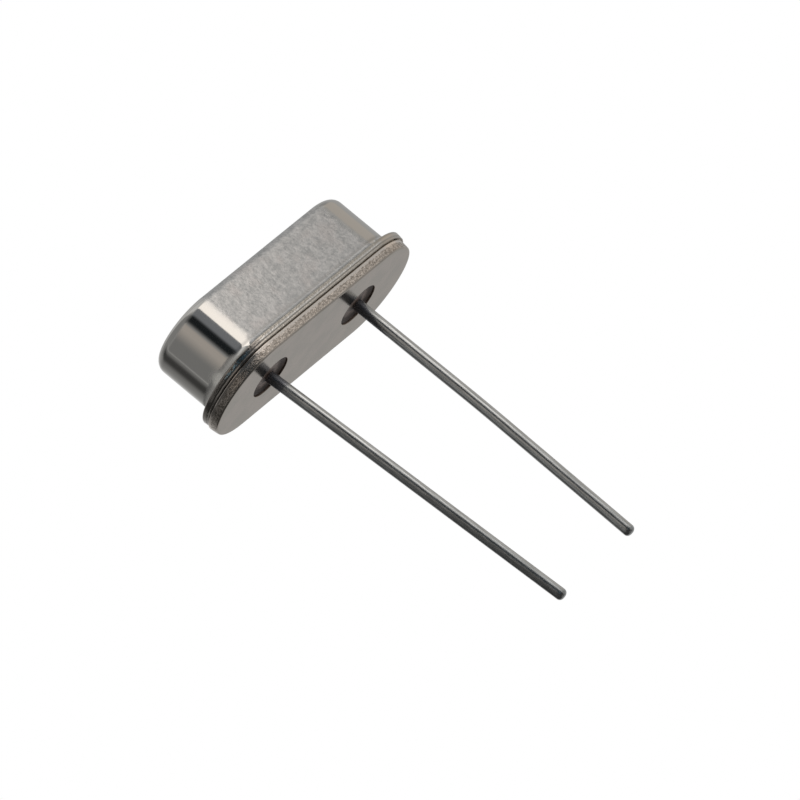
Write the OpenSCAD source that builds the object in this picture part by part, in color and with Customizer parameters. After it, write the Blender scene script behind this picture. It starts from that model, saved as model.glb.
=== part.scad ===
// Crystal oscillator: a quartz blank sealed in a low drawn can, on a header with two wire leads.
// Sizes are in millimetres. The origin is the middle of the header's underside, halfway between
// the leads. +Z points up into the can, X runs along the row of leads, and the leads hang down.
// Every level outline is a stadium: two half rounds joined by straight sides.

/* [Can] */
// Distance between the centres of the can's two round ends
end_pitch = 6.15; // [6:0.05:6.4]
// Width of the can across its flat sides, outside
can_wid = 3.5; // [3.4:0.05:3.8]
// Height of the can's top above the seating plane
can_top = 3.25; // [3.1:0.05:3.6]
// Thickness of the sheet that the can is drawn from
can_wall = 0.25; // [0.15:0.01:0.28]
// Radius of the can's top edge, outside
can_top_r = 0.42; // [0.32:0.02:0.6]
// Radius outside, where the wall turns out into the flange
foot_r = 0.3; // [0.2:0.01:0.32]
// Radius inside, where the wall turns out into the flange
mouth_r = 0.33; // [0.28:0.01:0.36]
// How far the flange stands out from the can's wall
flange_out = 0.42; // [0.36:0.01:0.5]
// Rounding of the flange's trimmed edge, upper side
flange_top_r = 0.09; // [0.03:0.01:0.12]
// Rounding of the flange's trimmed edge, lower side
flange_low_r = 0.04; // [0.02:0.01:0.08]
// How far off the header's middle the can was welded, along Y
can_shift = -0.11; // [-0.14:0.01:0.14]

/* [Header] */
// Thickness of the header's rim
rim_t = 0.38; // [0.3:0.01:0.5]
// How far the rim stands out from the line of the can's wall
rim_out = 0.39; // [0.36:0.01:0.48]
// Rounding of the rim's lower edge
rim_low_r = 0.05; // [0.02:0.01:0.08]
// Rounding of the rim's upper edge
rim_top_r = 0.05; // [0.01:0.01:0.08]
// Height of the island that stands up inside the can, above the rim
island_h = 0.5; // [0.3:0.05:0.6]
// Gap between the island and the inside of a centred can
island_gap = 0.2; // [0.16:0.01:0.26]
// Rounding of the island's upper edge
island_r = 0.1; // [0.05:0.01:0.15]
// Height of the weld bead that holds the flange off the rim
bead_h = 0.05; // [0.03:0.01:0.08]
// Width of the weld bead
bead_w = 0.1; // [0.06:0.01:0.12]

/* [Glass seals] */
// Diameter of the hole that each glass seal fills
seal_d = 1.7; // [1.5:0.02:1.9]
// How far the glass stops short of the header's underside and of the island's top
seal_recess = 0.05; // [0.03:0.01:0.1]
// Depth of the hollow that the molten glass drew into each end of a seal
meniscus = 0.09; // [0.05:0.01:0.14]

/* [Leads] */
// Distance between the two leads where they leave the header
lead_pitch = 4.88; // [4.7:0.02:5.08]
// Diameter of the lead wire
lead_d = 0.43; // [0.38:0.01:0.48]
// Length of the left lead below the header
left_lead_len = 12.45; // [8:0.05:13.5]
// Length of the right lead below the header
right_lead_len = 12.3; // [8:0.05:13.5]
// Inward lean of the left lead, degrees
left_lean = 3.8; // [0:0.1:5]
// Inward lean of the right lead, degrees: negative leans outward
right_lean = -0.65; // [-2:0.05:3]
// Inward bow part of the way down the right lead, degrees
right_bow = 1.55; // [0.5:0.05:4]
// How far down the right lead its bow begins
right_bow_at = 4.9; // [2:0.1:6]
// Length of wire that the right lead's bow takes up
right_bow_len = 1.5; // [0.9:0.1:2]
// Rounding of the cut lead tips
tip_r = 0.16; // [0.05:0.01:0.18]
// How far each lead stands above the island, inside the can
post_h = 0.35; // [0.25:0.05:0.5]
// Diameter of the flattened head on each lead, inside the can
head_d = 0.68; // [0.6:0.02:0.8]
// Thickness of the flattened head
head_t = 0.12; // [0.08:0.01:0.15]

/* [Clips] */
// Thickness of the clip strip
clip_t = 0.1; // [0.06:0.01:0.12]
// Width of the clip strip
clip_w = 1.1; // [0.9:0.05:1.3]
// Height from the underside of a clip's foot to the top of its shelf
clip_rise = 0.5; // [0.4:0.02:0.6]
// Distance from the lead's axis to the outer side of the clip's riser
clip_reach = 0.55; // [0.5:0.01:0.6]
// Inside radius of the clip's two bends
clip_bend = 0.06; // [0.04:0.01:0.08]
// Width of the slot that softens the riser
clip_slot_w = 0.36; // [0.2:0.02:0.5]

/* [Quartz blank] */
// Length of the quartz blank
blank_len = 7.8; // [7.4:0.05:7.9]
// Width of the quartz blank
blank_wid = 1.8; // [1.6:0.05:2]
// Thickness of the quartz blank
blank_t = 0.17; // [0.1:0.01:0.3]
// Thickness of the silver film, drawn far thicker than the real one
film_t = 0.02; // [0.015:0.005:0.03]
// Length of each electrode's pad
pad_len = 3; // [2.4:0.1:3.6]
// Width of each electrode's pad
pad_wid = 1.3; // [1.1:0.05:1.5]
// Corner radius of each electrode's pad
pad_r = 0.3; // [0.1:0.05:0.5]
// Width of the tab from each pad to one end of the blank
tab_wid = 0.5; // [0.3:0.05:0.7]

/* [Adhesive] */
// Thickness of the adhesive between a clip's shelf and the blank
bed_t = 0.05; // [0.035:0.005:0.08]
// Diameter of each dab of adhesive
dab_d = 0.84; // [0.7:0.02:1]
// Height of a dab above the blank
dab_h = 0.16; // [0.08:0.01:0.25]
// How far each dab's centre lies inside the blank's end
dab_in = 0.12; // [0:0.01:0.2]

/* [Hidden] */
$fn = 96;
over = 1;             // how far a cutter runs past what it cuts
left = -1;            // the end of the row towards -X
right = 1;            // the end of the row towards +X

// Distances from a stadium's centre line
wall_out = can_wid / 2;
wall_in = wall_out - can_wall;
flange_edge = wall_out + flange_out;
rim_edge = wall_out + rim_out;
island_edge = wall_in - island_gap;
foot_fit = min(foot_r, flange_out - flange_top_r);
bead_clear = 0.02;    // from the end of the mouth's bend to the weld bead
bead_edge = wall_in + mouth_r + bead_clear;

// Heights
flange_z = rim_t + bead_h;
flange_top = flange_z + can_wall;
ceiling = can_top - can_wall;
island_top = rim_t + island_h;
head_top = island_top + post_h;
shelf_top = head_top + clip_rise;
blank_z = shelf_top + bed_t;
blank_top = blank_z + blank_t;

lead_r = lead_d / 2;
seal_r = seal_d / 2;
exit_drop = 0.03;     // straight wire below the underside, before a lead leans
bow_steps = 3;        // straight lengths that stand for the right lead's bow
knuckle_swell = 0.001; // how much more than the wire's radius the ball at each turn has
knuckle_gap = 0.01;   // how far the straight lengths stop short of a turn's centre
shelf_past = 0.3;     // how far a clip's shelf runs past the blank's end
dab_x = blank_len / 2 - dab_in;

// ---- Stadium outlines ----

// Sweeps a section, drawn as (distance from the centre line, height), round a stadium.
module stadium_sweep() {
    for (end = [0, 1]) mirror([end, 0, 0])
        translate([end_pitch / 2, 0, 0]) rotate([0, 0, -90]) rotate_extrude(angle = 180) children();
    for (flank = [0, 1]) mirror([0, flank, 0])
        translate([end_pitch / 2, 0, 0]) rotate([90, 0, -90]) linear_extrude(height = end_pitch) children();
}

// Half of a slab's section, from the centre line to its edge. An edge with no radius stays square.
module slab_section(edge, bottom, top, low_r, top_r) {
    difference() {
        translate([0, bottom]) square([edge, top - bottom]);
        if (low_r > 0) translate([edge, bottom]) corner_off(low_r);
        if (top_r > 0) translate([edge, top]) mirror([0, 1]) corner_off(top_r);
    }
}

// What rounding takes off a lower outside corner that stands at the origin.
module corner_off(r) {
    difference() {
        translate([-r, -over]) square([r + over, r + over]);
        translate([-r, r]) circle(r);
        translate([-r - over, r]) square([2 * over, over]);
    }
}

// ---- Can ----

// Wall and top outside, with the wide fillet above the flange.
module can_outside() {
    slab_section(wall_out, flange_z, can_top, 0, can_top_r);
    difference() {
        translate([0, flange_z]) square([wall_out + foot_fit, can_wall + foot_fit]);
        translate([wall_out + foot_fit, flange_top + foot_fit]) circle(foot_fit);
    }
}

// Space inside the can, opening out at the mouth as the sheet bends into the flange.
module can_inside() {
    difference() {
        translate([0, flange_z - over]) square([wall_in, ceiling - flange_z + over]);
        translate([wall_in, ceiling]) mirror([0, 1]) corner_off(can_top_r - can_wall);
    }
    difference() {
        translate([0, flange_z - over]) square([wall_in + mouth_r, mouth_r + over]);
        translate([wall_in + mouth_r, flange_z + mouth_r]) circle(mouth_r);
    }
}

module can() {
    color("silver") translate([0, can_shift, 0]) difference() {
        union() {
            stadium_sweep() can_outside();
            stadium_sweep() slab_section(flange_edge, flange_z, flange_top, flange_low_r, flange_top_r);
        }
        stadium_sweep() can_inside();
    }
}

// ---- Header ----

module header() {
    color("darkgray") difference() {
        union() {
            stadium_sweep() slab_section(rim_edge, 0, rim_t, rim_low_r, rim_top_r);
            stadium_sweep() slab_section(island_edge, 0, island_top, 0, island_r);
            translate([0, can_shift, 0]) stadium_sweep()
                translate([bead_edge, rim_t / 2]) square([bead_w, rim_t / 2 + bead_h]);
        }
        for (side = [left, right])
            translate([side * lead_pitch / 2, 0, -over]) cylinder(h = island_top + 2 * over, r = seal_r);
    }
}

// ---- Glass seals ----

// Circle whose arc hollows a seal's end, from the lead to the hole.
module meniscus_circle() {
    half_gap = (seal_r - lead_r) / 2;
    r = (half_gap * half_gap + meniscus * meniscus) / (2 * meniscus);
    translate([lead_r + half_gap, meniscus - r]) circle(r);
}

module glass_seal(side) {
    color("#3a332e") translate([side * lead_pitch / 2, 0, 0]) rotate_extrude() difference() {
        translate([lead_r, seal_recess]) square([seal_r - lead_r, island_top - 2 * seal_recess]);
        translate([0, seal_recess]) meniscus_circle();
        translate([0, island_top - seal_recess]) mirror([0, 1]) meniscus_circle();
    }
}

// ---- Leads ----

// Wire inside the can and through the glass, with its flattened head.
module lead_post() {
    translate([0, 0, knuckle_gap - exit_drop]) cylinder(h = head_top + exit_drop - knuckle_gap, r = lead_r);
    translate([0, 0, head_top - head_t]) cylinder(h = head_t, d = head_d);
}

// Straight lengths of wire, one after another, heading down from the origin. Each turns towards
// +X by its own angle first. A ball a hair thicker than the wire joins them, and their ends stop
// inside it, short of its centre. The last length ends in a rounded tip.
module wire(lengths, turns, i = 0) {
    at_tip = i == len(lengths) - 1;
    bottom = at_tip ? 0 : knuckle_gap;
    rotate([0, -turns[i], 0]) {
        sphere(lead_r + knuckle_swell);
        translate([0, 0, -lengths[i]]) {
            rotate_extrude() slab_section(lead_r, bottom, lengths[i] - knuckle_gap, at_tip ? tip_r : 0, 0);
            if (!at_tip) wire(lengths, turns, i + 1);
        }
    }
}

module lead_left() {
    color("gainsboro") translate([left * lead_pitch / 2, 0, 0]) {
        lead_post();
        translate([0, 0, -exit_drop]) wire([left_lead_len - exit_drop], [left_lean]);
    }
}

module lead_right() {
    bow = [for (step = [1:bow_steps]) right_bow_len / bow_steps];
    below = right_lead_len - right_bow_at - right_bow_len;
    turns = [for (step = [0:bow_steps]) right_bow / (bow_steps + 1)];
    color("gainsboro") translate([right * lead_pitch / 2, 0, 0]) mirror([1, 0, 0]) {
        lead_post();
        translate([0, 0, -exit_drop])
            wire(concat(right_bow_at - exit_drop, bow, below), concat(right_lean, turns));
    }
}

// ---- Clips ----

// Quarter of a bent strip, centred on the bend, reaching from +X round to +Z.
module strip_bend() {
    intersection() {
        difference() {
            circle(clip_bend + clip_t);
            circle(clip_bend);
        }
        square(clip_bend + clip_t);
    }
}

// Side view of a clip: foot on the lead's head, riser, and shelf under the blank.
module clip_section() {
    bend_out = clip_bend + clip_t;
    foot_end = clip_reach - bend_out;
    shelf_end = blank_len / 2 + shelf_past - lead_pitch / 2;
    shelf_start = clip_reach - clip_t + bend_out;
    translate([-head_d / 2, 0]) square([foot_end + head_d / 2, clip_t]);
    translate([foot_end, bend_out]) mirror([0, 1]) strip_bend();
    translate([clip_reach - clip_t, bend_out]) square([clip_t, clip_rise - 2 * bend_out]);
    translate([shelf_start, clip_rise - bend_out]) mirror([1, 0]) strip_bend();
    translate([shelf_start, clip_rise - clip_t]) square([shelf_end - shelf_start, clip_t]);
}

module clip(side) {
    slot_h = clip_rise - 2 * clip_t;
    color("tan") mirror([side == left ? 1 : 0, 0, 0]) translate([lead_pitch / 2, 0, head_top]) difference() {
        translate([0, clip_w / 2, 0]) rotate([90, 0, 0]) linear_extrude(height = clip_w) clip_section();
        translate([clip_reach - clip_t - clip_bend, -clip_slot_w / 2, clip_t])
            cube([clip_t + 2 * clip_bend, clip_slot_w, slot_h]);
    }
}

// ---- Quartz blank and its electrodes ----

module quartz_blank() {
    color("lightcyan") translate([-blank_len / 2, -blank_wid / 2, blank_z])
        cube([blank_len, blank_wid, blank_t]);
}

module pad_outline() {
    square([pad_len, pad_wid - 2 * pad_r], center = true);
    square([pad_len - 2 * pad_r, pad_wid], center = true);
    for (x = [-1, 1], y = [-1, 1])
        translate([x * (pad_len / 2 - pad_r), y * (pad_wid / 2 - pad_r)]) circle(pad_r);
}

// Film on one face of the blank: a pad in the middle and a tab out to one end.
module electrode(side, z) {
    color("whitesmoke") translate([0, 0, z]) linear_extrude(height = film_t) {
        pad_outline();
        translate([side < 0 ? -blank_len / 2 : 0, -tab_wid / 2]) square([blank_len / 2, tab_wid]);
    }
}

module electrode_upper() electrode(left, blank_top);

module electrode_lower() electrode(right, blank_z - film_t);

// ---- Adhesive ----

// Section of a dab: a low cylinder from the shelf to the blank's top, with a dome on it.
module dab_section() {
    dab_r = dab_d / 2;
    dome_r = (dab_r * dab_r + dab_h * dab_h) / (2 * dab_h);
    translate([0, shelf_top]) square([dab_r, blank_top - shelf_top]);
    intersection() {
        translate([0, blank_top + dab_h - dome_r]) circle(dome_r);
        translate([0, blank_top]) square([dab_r, dab_h]);
    }
}

// Dab that bonds one end of the blank and its film to a clip.
module adhesive(side) {
    color("dimgray") difference() {
        translate([side * dab_x, 0, 0]) rotate_extrude() dab_section();
        quartz_blank();
        electrode_upper();
        electrode_lower();
    }
}

can();
header();
glass_seal(left);  // glass_seal_left
glass_seal(right);  // glass_seal_right
lead_left();
lead_right();
clip(left);  // clip_left
clip(right);  // clip_right
quartz_blank();
electrode_upper();
electrode_lower();
adhesive(left);  // adhesive_left
adhesive(right);  // adhesive_right
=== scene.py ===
"""Looks of a low two-lead quartz crystal: drawn can, stamped header, glass seals and wire leads.

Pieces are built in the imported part's own frame. Sizes in the classes are in millimetres, and every
mesh is made in metres. +Z points up into the can, X runs along the row of leads, and the broad
side of the can that the camera sees faces -Y.
"""

from __future__ import annotations

import logging
import math
from dataclasses import dataclass, field
from enum import Enum
from functools import reduce
from typing import Iterable, Sequence

import bmesh
import bpy
from mathutils import Matrix, Vector, noise

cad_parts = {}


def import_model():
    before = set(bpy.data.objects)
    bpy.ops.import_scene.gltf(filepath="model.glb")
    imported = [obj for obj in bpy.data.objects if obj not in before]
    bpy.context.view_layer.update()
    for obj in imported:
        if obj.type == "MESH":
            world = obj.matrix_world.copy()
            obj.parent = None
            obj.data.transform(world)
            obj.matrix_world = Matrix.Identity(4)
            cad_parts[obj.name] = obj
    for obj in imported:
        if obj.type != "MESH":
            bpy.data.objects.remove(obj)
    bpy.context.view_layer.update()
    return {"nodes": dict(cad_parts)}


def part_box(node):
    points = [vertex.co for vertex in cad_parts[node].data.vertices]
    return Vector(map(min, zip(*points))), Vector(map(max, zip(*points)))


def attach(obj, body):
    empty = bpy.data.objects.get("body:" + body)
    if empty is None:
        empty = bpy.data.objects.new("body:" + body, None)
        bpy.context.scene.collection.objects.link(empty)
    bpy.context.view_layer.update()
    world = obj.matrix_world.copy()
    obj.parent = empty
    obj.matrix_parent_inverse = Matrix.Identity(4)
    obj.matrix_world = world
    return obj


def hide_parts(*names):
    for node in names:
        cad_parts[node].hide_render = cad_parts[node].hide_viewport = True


log = logging.getLogger("crystal")

MM = 0.001
BODY = "root"
# Between the middles of the package's round ends, and between the leads.
END_PITCH = 6.15
LEAD_PITCH = 4.88
# Radii of a lead and of its hole in the header.
LEAD_R = 0.215
HOLE_R = 0.85
# Steps round a seal and its hole.
ROUND_STEPS = 96
# How far from an edge an extra point keeps the face beside it flat.
HOLD = 0.02
# How near two points of a section, in millimetres, or of a mesh, in metres, count as one.
SAME_POINT = 1e-7
SAME_VERTEX = 1e-8
# How far past a limit a point still counts as on it.
SLACK = 0.001
# Value of a pattern at which its relief leaves the surface where it is.
EVEN = 0.5

Pair = tuple[float, float]
Triple = tuple[float, float, float]
Quad = tuple[float, float, float, float]
BMesh = bmesh.types.BMesh
Ring = list[bmesh.types.BMVert]
Material = bpy.types.Material
Node = bpy.types.Node
Socket = bpy.types.NodeSocket
Value = Socket | float | str | tuple[float, ...] | None


class Side(Enum):
    """The two ends of the row of leads."""

    LEFT = -1
    RIGHT = 1

    @property
    def word(self) -> str:
        """The side as it stands in the names of nodes and pieces."""
        return self.name.lower()

    @property
    def x(self) -> float:
        """Place along X of this side's hole, seal and lead."""
        return self.value * LEAD_PITCH / 2


# ---- Colour and nodes ----


def linear(hex_code: str) -> Quad:
    """Turns an sRGB hex colour such as "#d4cec4" into linear RGBA, opaque."""
    channels = [int(hex_code[i : i + 2], 16) / 255 for i in (1, 3, 5)]
    return (*(c / 12.92 if c <= 0.04045 else ((c + 0.055) / 1.055) ** 2.4 for c in channels), 1.0)


class Graph:
    """Node tree in the making."""

    def __init__(self, tree: bpy.types.NodeTree) -> None:
        """Takes the tree of a material or of the world, to add nodes to."""
        self.tree = tree

    def add(self, kind: str, *values: Value, **named: Value) -> Socket | None:
        """Adds a node with its settings and links.

        Args:
            kind: Type of the node without its prefix, such as "Math".
            *values: As for fill.
            **named: Settings of the node, which all have lower-case names, and inputs as for fill.

        Returns:
            Its first output in use, if it has any.
        """
        node = self.tree.nodes.new(f"ShaderNode{kind}")
        for name in filter(str.islower, named):
            setattr(node, name, named[name])
        self.fill(node, *values, **{name: value for name, value in named.items() if not name.islower()})
        return next((output for output in node.outputs if output.enabled), None)

    def fill(self, node: Node, *values: Value, **named: Value) -> None:
        """Links sockets to a node's inputs, and sets them to any other value but None.

        Args:
            node: Node to fill.
            *values: What the inputs in use get, in order.
            **named: What inputs get by name, with underscores for spaces.
        """
        given = list(zip((entry for entry in node.inputs if entry.enabled), values))
        given += [(node.inputs[name.replace("_", " ")], value) for name, value in named.items()]
        for entry, value in given:
            if isinstance(value, Socket):
                self.tree.links.new(value, entry)
            elif value is not None:
                entry.default_value = value

    def times(self, *values: Value) -> Socket:
        """Product of masks or numbers."""
        return reduce(lambda one, other: self.add("Math", one, other, operation="MULTIPLY"), values)

    def rise(self, value: Socket, start: float, end: float, most: float = 1.0) -> Socket:
        """Mask that grows from nothing at the start to its most at the end."""
        return self.add("MapRange", value, start, end, 0.0, most, interpolation_type="SMOOTHSTEP")

    def fall(self, value: Socket, start: float, end: float, most: float = 1.0) -> Socket:
        """Mask that drops from its most at the start to nothing at the end."""
        return self.add("MapRange", value, start, end, most, 0.0, interpolation_type="SMOOTHSTEP")

    def band(self, value: Socket, climb: Pair, drop: Pair, most: float = 1.0) -> Socket:
        """Mask that grows to its most over one span of the value, and drops to nothing over a later one."""
        return self.times(self.rise(value, *climb, most), self.fall(value, *drop))


class Recipe(Graph):
    """One material under construction, with its coordinates in millimetres."""

    def __init__(self, name: str) -> None:
        """Makes the material, its shader and its coordinates.

        Args:
            name: Name of the real material and how it was made.
        """
        self.material = bpy.data.materials.new(name)
        self.material.use_nodes = True
        super().__init__(self.material.node_tree)
        metres = self.add("TexCoord").node.outputs["Object"]
        self.place = self.add("Mapping", metres, Scale=(1 / MM, 1 / MM, 1 / MM))
        self.x, self.y, self.z = self.add("SeparateXYZ", self.place).node.outputs

    def pattern(self, size: float | Triple, detail: float = 2.0, rough: float = 0.5) -> Socket:
        """Cloudy pattern.

        Args:
            size: Width of a feature in millimetres, or one width for each axis.
            detail: Octaves of finer pattern.
            rough: Strength of the finer octaves.

        Returns:
            Pattern between 0 and 1, about 0.5 on average.
        """
        sizes = size if isinstance(size, tuple) else (size, size, size)
        place = self.add("Mapping", self.place, Scale=tuple(1 / s for s in sizes))
        return self.add("TexNoise", place, Scale=1.0, Detail=detail, Roughness=rough)

    def from_leads(self) -> Socket:
        """Level distance from the middle of the nearer hole.

        Returns:
            The distance in millimetres.
        """
        mirrored = self.add("VectorMath", self.place, operation="ABSOLUTE")
        level = self.add("VectorMath", mirrored, (1.0, 1.0, 0.0), operation="MULTIPLY")
        return self.add("VectorMath", level, (LEAD_PITCH / 2, 0.0, 0.0), operation="DISTANCE")

    def spot(self, middle: Triple, core: float, reach: float, most: float = 1.0) -> Socket:
        """Mask round a place, with its most up to the core's distance and gone at its reach."""
        away = self.add("VectorMath", self.place, middle, operation="DISTANCE")
        return self.fall(away, core, reach, most)

    def paint(self, mask: Socket, under: Socket | str, over: Socket | str) -> Socket:
        """Colour laid over another one by a mask, each of them a socket or a hex colour."""
        colors = (linear(color) if isinstance(color, str) else color for color in (under, over))
        return self.add("Mix", mask, *colors, data_type="RGBA")

    def mottle(self, pattern: Socket, dark: str, light: str, span: Pair = (0.35, 0.65)) -> Socket:
        """Colour between two hex colours that follows a pattern over a span of its values."""
        return self.paint(self.rise(pattern, *span), dark, light)

    def layers(self, base: Socket, *coats: tuple[Socket, Socket | str]) -> Socket:
        """Colour under coats in order, each one a mask and a colour."""
        return reduce(lambda under, coat: self.paint(coat[0], under, coat[1]), coats, base)

    def spread(self, pattern: Socket, ends: Pair, span: Pair = (0.3, 0.7)) -> Socket:
        """Number between two ends that follows a pattern over a span of its values."""
        return self.add("MapRange", pattern, *span, *ends)

    def relief(self, pattern: Socket, microns: float, under: Socket | None = None) -> Socket:
        """Relief from a pattern of so many real microns, on top of the one under it."""
        return self.add("Bump", Height=pattern, Distance=microns * MM * MM, Strength=1.0, Normal=under)

    def finish(self, **inputs: Value) -> Material:
        """Fills the shader's inputs and gives back the material."""
        self.fill(self.tree.nodes["Principled BSDF"], **inputs)
        return self.material


# ---- Finishes ----


@dataclass(frozen=True)
class DrawnCan:
    """Nickel silver sheet, deep-drawn: the flat sides are left satin and the round ends burnished.

    A pair of places says where a mask starts and where it is full, or where it fades and is gone.

    Attributes:
        blush: Warm clouds in the satin, in blush_span of the pattern's values, blush_most at their strongest.
        microns: Height of the grain, the peel, the streaks and the tear.
        burnish: Where along X the ends' burnish starts and is full.
        held: How much further out the burnish starts beside the foot, up to what height that fades, and
            from where along X.
        dull_line: Heights over which the duller line just above the fillet comes and goes, and its strength.
        fillet_highlight: The same for the painted highlight above the foot.
        score_highlight: The same for the painted highlight above the flange's score, on the broad sides.
        edge_shade_reach: Where along X the painted shade on the left end's edge fades.
        weld: Middle of the blue glints painted on the cut face beside the weld, a painted reflection, and
            their core, reach and strength.
        glint_streak: Values of the tear between which those painted glints come up.
        foot: Heights at which the matt fillet fades.
        glow_spot: Middle of the painted glow beside one end, and its core and reach.
    """

    light: str = "#d5d4d2"
    dark: str = "#b4b5b4"
    blush: str = "#cfc8c4"
    rubbed: str = "#d3d1cc"
    dull: str = "#adaca9"
    gleam: str = "#f1f0ec"
    trimmed: str = "#d6cfc5"
    torn: str = "#cbc4ba"
    rolled: str = "#bfb9af"
    # Painted shade on the edge round the left end.
    shaded_edge: str = "#a39d96"
    # Painted reflection: blue glints on the flange's cut face.
    heat: str = "#b8e2f4"
    flat_rough: Pair = (0.3, 0.4)
    end_rough: Pair = (0.07, 0.12)
    edge_rough: Pair = (0.1, 0.19)
    foot_rough: Pair = (0.62, 0.72)
    glow_spot_rough: float = 0.9
    glow_spot_metal: float = 0.85
    grain: float = 0.1
    peel: float = 0.24
    cloud: float = 0.8
    tear: Triple = (0.08, 0.08, 0.05)
    streak: Triple = (0.06, 0.06, 2.6)
    microns: Quad = (7.0, 8.0, 0.25, 6.0)
    blush_span: Pair = (0.5, 0.72)
    blush_most: float = 0.4
    burnish: Pair = (3.02, 3.44)
    held: Triple = (0.24, 1.18, 3.27)
    trim: Pair = (0.66, 0.68)
    dull_line: tuple[Pair, Pair, float] = ((0.86, 0.93), (0.93, 1.05), 0.75)
    lid: Pair = (3.222, 3.238)
    fillet_highlight: tuple[Pair, Pair, float] = ((0.81, 0.85), (0.85, 0.89), 0.4)
    score_highlight: tuple[Pair, Pair, float] = ((0.5, 0.535), (0.535, 0.57), 0.8)
    cut: Pair = (0.47, 0.49)
    roll: Pair = (0.57, 0.6)
    edge_shade_reach: Pair = (-3.6, -3.1)
    weld: tuple[Triple, float, float, float] = ((-4.45, -1.8, 0.54), 0.35, 0.8, 0.75)
    glint_streak: Pair = (0.4, 0.58)
    glint_top: Pair = (0.58, 0.61)
    foot: Pair = (0.9, 1.08)
    foot_reach: Pair = (3.8, 4.3)
    foot_sheen: float = 0.6
    glow_spot: tuple[Triple, float, float] = ((-4.66, -0.85, 0.86), 0.1, 0.42)

    def edge(self, recipe: Recipe, tear: Socket) -> Socket:
        """Colour of the flange's edge, with painted shade round its left end and painted blue glints at one
        corner.

        Args:
            recipe: Material in the making.
            tear: Pattern of the sheared grain.

        Returns:
            The colour.
        """
        level = recipe.z
        cut = recipe.rise(level, *self.cut)
        # Painted reflection: streaky blue glints are painted on the cut face at one corner.
        streaks = recipe.times(recipe.rise(tear, *self.glint_streak), recipe.fall(level, *self.glint_top))
        glints = recipe.times(recipe.spot(*self.weld), cut, streaks)
        # Painted shade: round the left end the edge is painted darker, for the shade it lies in.
        edge_shade = recipe.fall(recipe.x, *self.edge_shade_reach)
        edge = recipe.paint(cut, self.torn, self.trimmed)
        rolled = recipe.rise(level, *self.roll)
        return recipe.layers(edge, (rolled, self.rolled), (edge_shade, self.shaded_edge), (glints, self.heat))

    def build(self) -> Material:
        """Makes the material.

        Returns:
            The material.
        """
        # To the eye: pale grey broad sides with a fine, soft grain, and ends as bright as a dull mirror.
        recipe = Recipe("nickel_silver_drawn")
        level, along = recipe.z, recipe.add("Math", recipe.x, operation="ABSOLUTE")
        # The orange-peel grain of the drawn flats is about twice as coarse here as the real one, to show.
        grain, peel, tear = (recipe.pattern(size, 3, 0.6) for size in (self.grain, self.peel, self.tear))
        streak = recipe.pattern(self.streak)
        # The die rubs the ends bright, up to a soft edge just past the flats, steeper beside the foot. The
        # punch carries the lid flat, and leaves it satin all over.
        most, top, start = self.held
        held = recipe.fall(level, self.foot[0], top, most)
        held = recipe.times(held, recipe.fall(along, start, self.burnish[1]))
        ends = recipe.rise(recipe.add("Math", along, held, operation="SUBTRACT"), *self.burnish)
        ends = recipe.times(ends, recipe.fall(level, *self.lid))
        trim = recipe.fall(level, *self.trim)
        # Round the ends the fillet was never rubbed, and stayed matt; its colour is painted lighter there too,
        # a painted sheen.
        foot = recipe.times(recipe.fall(level, *self.foot), recipe.rise(along, *self.foot_reach))
        # Painted highlight: a pale, dull glow is painted on the fillet beside one end.
        painted_glow = recipe.spot(*self.glow_spot)
        # A duller line runs just above the fillet. A painted highlight lies below it, and another one lies
        # above the score.
        lines = (self.dull_line, self.fillet_highlight, self.score_highlight)
        dull, fillet_shine, score_shine = (recipe.band(level, *line) for line in lines)
        # The painted highlight above the score is kept off the round ends.
        score_shine = recipe.add("Mix", ends, score_shine, 0.0)
        color = recipe.layers(
            recipe.mottle(recipe.add("Mix", 0.5, grain, peel), self.dark, self.light),
            (recipe.rise(recipe.pattern(self.cloud), *self.blush_span, self.blush_most), self.blush),
            (ends, self.rubbed), (dull, self.dull), (recipe.times(foot, self.foot_sheen), self.gleam),
            (trim, self.edge(recipe, tear)), (fillet_shine, self.gleam), (score_shine, self.gleam), (painted_glow, self.gleam),
        )
        relief = None
        drawn = recipe.add("Mix", ends, grain, EVEN), recipe.add("Mix", ends, peel, EVEN)
        for height, microns in zip((*drawn, streak, recipe.add("Mix", trim, EVEN, tear)), self.microns):
            relief = recipe.relief(height, microns, relief)
        bright = recipe.spread(streak, self.end_rough)
        bright = recipe.add("Mix", foot, bright, recipe.spread(grain, self.foot_rough))
        bright = recipe.add("Mix", painted_glow, bright, self.glow_spot_rough)
        rough = recipe.add("Mix", ends, recipe.spread(grain, self.flat_rough), bright)
        return recipe.finish(
            Metallic=recipe.add("Mix", painted_glow, 1.0, self.glow_spot_metal),
            Base_Color=color,
            Roughness=recipe.add("Mix", trim, rough, recipe.spread(tear, self.edge_rough)),
            Normal=relief,
        )


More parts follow.
